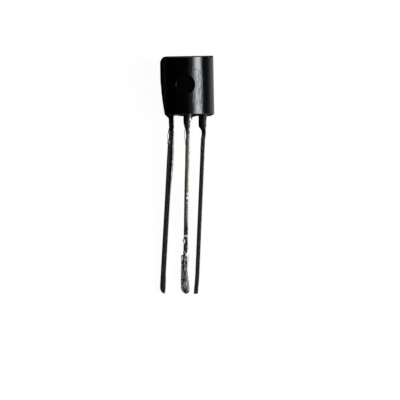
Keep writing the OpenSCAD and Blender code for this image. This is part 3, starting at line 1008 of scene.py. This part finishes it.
def dress_inner_pieces():
    """Gives the CAD's own die, die solder and bond wires their materials."""
    gold = inner_metal("drawn_gold", "#c99a2e", "#dcb04a", 0.2, (0.02, 0.1, 0.02))
    solder = inner_metal("die_solder", "#9fa2a6", "#c2c5c9", 0.3, (0.05, 0.05, 0.05))
    inner = {"die": polished_silicon(), "die_attach": solder, "base_wire": gold, "emitter_wire": gold}
    for node, material in inner.items():
        frame["nodes"][node].data.materials.clear()
        frame["nodes"][node].data.materials.append(material)


# ------------------------------------------------------------------ studio


def arc_panel(name, angles, y_range, material, glow=None):
    """Part of a cylinder about the leads' direction, at angles in degrees from Z towards X.

    glow gives the radiance at each angle, kept as an attribute.
    """
    angle, y = np.meshgrid(np.radians(angles), y_range, indexing="ij")
    points = np.stack([PANEL_R * np.sin(angle), y, PANEL_R * np.cos(angle)], axis=-1).reshape(-1, 3)
    cell = np.arange(len(angles) - 1)[:, None] * len(y_range) + np.arange(len(y_range) - 1)
    step = len(y_range)
    faces = np.stack([cell, cell + 1, cell + step + 1, cell + step], axis=-1).reshape(-1, 4)
    values = None if glow is None else {"glow": np.repeat(glow, len(y_range))}
    panel = new_object(name, placed(points), faces.tolist(), material, values)
    panel.visible_camera = False


def lamp_and_painted_light_cloth():
    """White cloth of the key lamp and of the cards, with the radiance of its "glow" attribute. On the
    cards it paints reflections of lit paper, and where it has no glow it paints shade.
    """
    material, tree = new_tree("lamp_and_painted_light_cloth")
    glow = add(tree, "ShaderNodeAttribute", attribute_name="glow", output="Fac")
    light = add(tree, "ShaderNodeEmission", {"Color": linear("#f4f9ff"), "Strength": glow})
    add(tree, "ShaderNodeOutputMaterial", {"Surface": light})
    return material


def black_cloth():
    """Black flocked cloth of the flag, which reflects next to nothing."""
    material, tree = new_tree("black_cloth")
    cloth = add(tree, "ShaderNodeBsdfDiffuse", {"Color": linear("#020202")})
    add(tree, "ShaderNodeOutputMaterial", {"Surface": cloth})
    return material


def seen_directly(tree):
    """1 for rays of the camera and for rays that metal or glass reflects or lets through."""
    rays = [
        add(tree, "ShaderNodeLightPath", output=f"Is {kind} Ray")
        for kind in ("Camera", "Glossy", "Transmission")
    ]
    either = add(tree, "ShaderNodeMath", {0: rays[0], 1: rays[1]}, operation="MAXIMUM")
    return add(tree, "ShaderNodeMath", {0: either, 1: rays[2]}, operation="MAXIMUM")


def pale_paper():
    """Pale matt paper that shows nearly white, with a faint shadow of the part on it."""
    material, tree = new_tree("pale_paper")
    paper = add(tree, "ShaderNodeBsdfDiffuse", {"Color": linear("#f4f4f3")})
    white = add(tree, "ShaderNodeEmission", {"Strength": PAPER_WHITE})
    share = {0: seen_directly(tree), 1: PAPER_SHARE}
    share = add(tree, "ShaderNodeMath", share, operation="MULTIPLY")
    both = add(tree, "ShaderNodeMixShader", {0: share, 1: paper, 2: white})
    add(tree, "ShaderNodeOutputMaterial", {"Surface": both})
    return material


def build_card(name, profile, ends, material, along_y=False):
    """A card that only reflections see: its profile, stretched between its two ends.

    The profile holds places, heights and radiances. Its places lie along X and its ends along Y, or
    the other way round where along_y is true.
    """
    place, z, radiance = np.repeat(np.array(profile, float), 2, axis=0).T
    end = np.tile(ends, len(profile))
    x, y = (end, place) if along_y else (place, end)
    strips = 2 * np.arange(len(profile) - 1)[:, None] + (0, 1, 3, 2)
    points = np.stack([x, y, z], axis=-1) * MM
    card = new_object(name, points, strips.tolist(), material, {"glow": radiance})
    card.visible_camera = card.visible_diffuse = card.visible_shadow = False


def build_floor():
    """A square sheet of paper, on which the part lies."""
    corners = [(-1, -1, 0), (1, -1, 0), (1, 1, 0), (-1, 1, 0)]
    points = np.array(corners) * FLOOR_HALF * MM
    new_object("floor", points, [(0, 1, 2, 3)], pale_paper())


def build_lamp(name, place, size, radiance):
    """A white, square area lamp at a place of the package, aimed at the part."""
    data = bpy.data.lights.new(name, "AREA")
    data.shape = "SQUARE"
    data.size = size * MM
    data.energy = radiance * math.pi * (size * MM) ** 2
    lamp = bpy.data.objects.new(name, data)
    bpy.context.scene.collection.objects.link(lamp)
    lamp.location = placed(place)
    lamp.rotation_euler = (-lamp.location).to_track_quat("-Z", "Y").to_euler()
    lamp.visible_camera = False


def build_world():
    """White where it is seen, and dim as a light."""
    world = bpy.data.worlds.new("studio")
    world.use_nodes = True
    tree = world.node_tree
    tree.nodes.clear()
    strength = {"Value": seen_directly(tree), "To Min": WORLD_DIM, "To Max": 1.0}
    strength = add(tree, "ShaderNodeMapRange", strength)
    sky = add(tree, "ShaderNodeBackground", {"Strength": strength})
    add(tree, "ShaderNodeOutputWorld", {"Surface": sky})
    bpy.context.scene.world = world


def build_studio():
    """Floor, world, curved key lamp with the flag beside it, cards and two lamps at the ends.

    The key lamp's radiance rises as the cube of its easing, and fades as the square of another.
    """
    build_floor()
    build_world()
    cloth = lamp_and_painted_light_cloth()
    angles = np.arange(KEY_FROM, KEY_TO + 1, 1.0)
    rising, fading = eased(angles, KEY_RISE, KEY_FULL), eased(angles, KEY_FADE, KEY_TO)
    spill = KEY_SPILL * eased(angles, KEY_FROM, KEY_SPILL_FULL)
    glow = KEY_RADIANCE * (rising**3 + spill) * (1 - fading) ** 2
    arc_panel("key_lamp", angles, KEY_Y, cloth, glow)
    arc_panel("left_flag", np.linspace(FLAG_FROM, KEY_FROM, FLAG_STRIPS + 1), FLAG_Y, black_cloth())
    build_card("left_shade_card", LEFT_SHADE_CARD, LEFT_SHADE_CARD_Y, cloth)
    build_card("right_reflection_card", RIGHT_REFLECTION_CARD, RIGHT_REFLECTION_CARD_Y, cloth)
    build_card("lower_shade_card", LOWER_SHADE_CARD, END_SHADE_CARD_X, cloth, along_y=True)
    build_card("upper_shade_card", UPPER_SHADE_CARD, END_SHADE_CARD_X, cloth, along_y=True)
    build_card("front_card", FRONT_CARD, FRONT_CARD_X, cloth, along_y=True)
    for name, place in END_LAMPS.items():
        build_lamp(name, place, END_LAMP_SIZE, END_LAMP_RADIANCE)


def build_camera():
    """A long lens square on to the row of leads, rolled a little, with the whole part in view."""
    roll = math.radians(CAMERA_ROLL)
    cos, sin = math.cos(roll), math.sin(roll)
    axes = TURN @ np.array([[cos, sin, 0], [-sin, cos, 0], [0, 0, 1]])
    data = bpy.data.cameras.new("camera")
    data.sensor_width = SENSOR_W
    data.lens = data.sensor_width * CAMERA_DISTANCE / VIEW_W
    data.clip_start, data.clip_end = 0.001, 10
    camera = bpy.data.objects.new("camera", data)
    bpy.context.scene.collection.objects.link(camera)
    pose = np.eye(4)
    pose[:3, :3] = axes
    pose[:3, 3] = placed([*VIEW_MIDDLE, CAMERA_DISTANCE])
    camera.matrix_world = Matrix(pose.tolist())
    bpy.context.scene.camera = camera


# ------------------------------------------------------------------ scene

build_camera()
build_studio()
epoxy = moulded_epoxy()
build_case(epoxy)
build_flash(epoxy)
plating = tinned_copper()
build_base_lead(plating)
build_emitter_lead(plating)
build_collector_lead(plating)
build_whisker("base_whisker", BASE_WHISKER, plating)
build_whisker("collector_whisker", COLLECTOR_WHISKER, plating)
dress_inner_pieces()

bpy.context.scene.view_settings.view_transform = "Standard"
